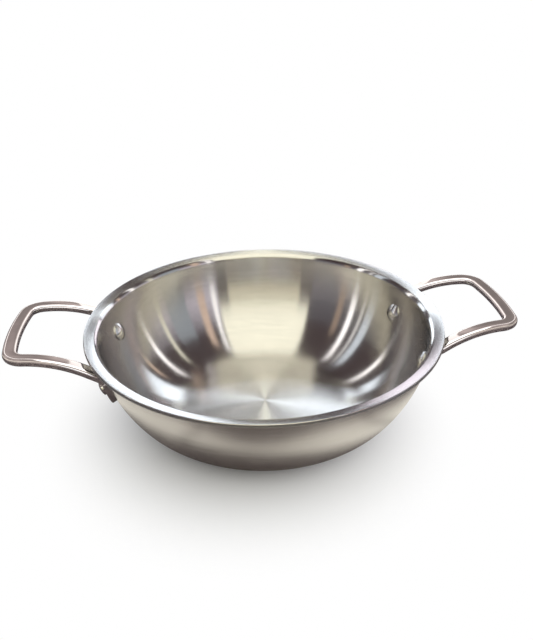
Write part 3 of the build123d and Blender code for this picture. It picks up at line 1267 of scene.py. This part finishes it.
    def light(self, name: str, mesh: bpy.types.Mesh, glow: Finish, lit: bpy.types.Collection) -> None:
        """Makes a mesh a soft box that the camera doesn't see.

        Args:
            name: its name.
            mesh: its shape.
            glow: its finish.
            lit: the only pieces that it lights.
        """
        mesh.materials.append(glow.material())
        box = bpy.data.objects.new(name, mesh)
        box.visible_camera = False
        box.light_linking.receiver_collection = lit
        bpy.context.scene.collection.objects.link(box)

    def group(self, name: str, pieces: list[bpy.types.Object]) -> bpy.types.Collection:
        """Gathers the pieces that a soft box lights.

        Args:
            name: a name for them together.
            pieces: the pieces.

        Returns:
            The collection, which isn't part of the scene.
        """
        group = bpy.data.collections.new(name)
        for piece in pieces:
            group.objects.link(piece)
        return group

    def build_haze(self, lit: bpy.types.Collection) -> None:
        """Makes the dim, patchy walls that these pieces mirror.

        Args:
            lit: the only pieces that they light.
        """
        mesh = bpy.data.meshes.new("haze")
        work = bmesh.new()
        around, up = self.haze_segments
        bmesh.ops.create_uvsphere(work, u_segments=around, v_segments=up, radius=self.haze_radius)
        work.to_mesh(mesh)
        work.free()
        self.light("haze", mesh, self.haze, lit)

    def build_sheen(self, lit: bpy.types.Collection) -> None:
        """Lays the sheen just over the floor.

        Args:
            lit: the only pieces that it lights.
        """
        mesh = self.disc("sheen", self.sheen_radius)
        mesh.transform(Matrix.Translation(UP * self.sheen_height))
        self.light("sheen", mesh, Sheen(), lit)

    def disc(self, name: str, radius: float) -> bpy.types.Mesh:
        """Makes a level disc.

        Args:
            name: its name.
            radius: its radius.

        Returns:
            Its mesh.
        """
        mesh = bpy.data.meshes.new(name)
        work = bmesh.new()
        bmesh.ops.create_circle(work, cap_ends=True, segments=self.disc_segments, radius=radius)
        work.to_mesh(mesh)
        work.free()
        return mesh

    def build_room(self) -> bpy.types.Object:
        """Makes the floor and the room, dim to the steel and white to the camera.

        Returns:
            The floor.
        """
        world = bpy.data.worlds.new("room")
        world.use_nodes = True
        graph = Graph(world.node_tree)
        from_camera = graph.signal("ShaderNodeLightPath", "Is Camera Ray")
        glow = graph.signal("ShaderNodeBackground", 0, None,
                            {"Color": graph.mix_colour(from_camera, self.room, WHITE)})
        graph.node("ShaderNodeOutputWorld", None, {"Surface": glow})
        bpy.context.scene.world = world
        mesh = self.disc("floor", self.floor_radius)
        mesh.materials.append(PaleFloor().material())
        floor = bpy.data.objects.new("floor", mesh)
        bpy.context.scene.collection.objects.link(floor)
        return floor

    def build(self, round_pieces: list[bpy.types.Object], handle_pieces: list[bpy.types.Object]) -> None:
        """Makes everything that isn't part of the kadai.

        Args:
            round_pieces: the bowl's layers, the outside first, and the rivets.
            handle_pieces: the handles, in the order of the studio's own list.
        """
        self.build_camera()
        floor = self.build_room()
        bowl_and_floor = self.group("bowl_and_floor", [*round_pieces, floor])
        for arch in self.arches:
            glow = Glow(arch.name + "_glow", arch.colour, arch.radiance)
            self.hang(arch.name, glow, self.arch_spots(arch), arch.distance, bowl_and_floor)
        self.build_sheen(self.group("outside_alone", round_pieces[:1]))
        self.build_haze(self.group("both_handles", handle_pieces))
        for handle, piece in zip(self.handles, handle_pieces):
            one_handle = self.group(piece.name + "_alone", [piece])
            for stripe in self.stripes:
                veil = Veil(stripe.name + "_glow", stripe.colour, stripe.radiance)
                self.hang(f"{stripe.name}_{handle.side.name.lower()}", veil,
                          self.stripe_spots(stripe, handle), self.stripe_distance, one_handle)
        bpy.context.scene.view_settings.view_transform = "Standard"


def main() -> None:
    """Builds the kadai and the studio round it."""
    logging.basicConfig(level=logging.INFO, format="%(name)s: %(message)s")
    bowl = Bowl()
    rivets = Rivets(bowl)
    round_pieces = [*bowl.build(), rivets.build()]
    handles = tuple(LoopHandle(bowl, rivets, side) for side in Side)
    handle_pieces = [handle.build() for handle in handles]
    Studio(bowl, handles).build(round_pieces, handle_pieces)


if __name__ == "__main__":
    main()
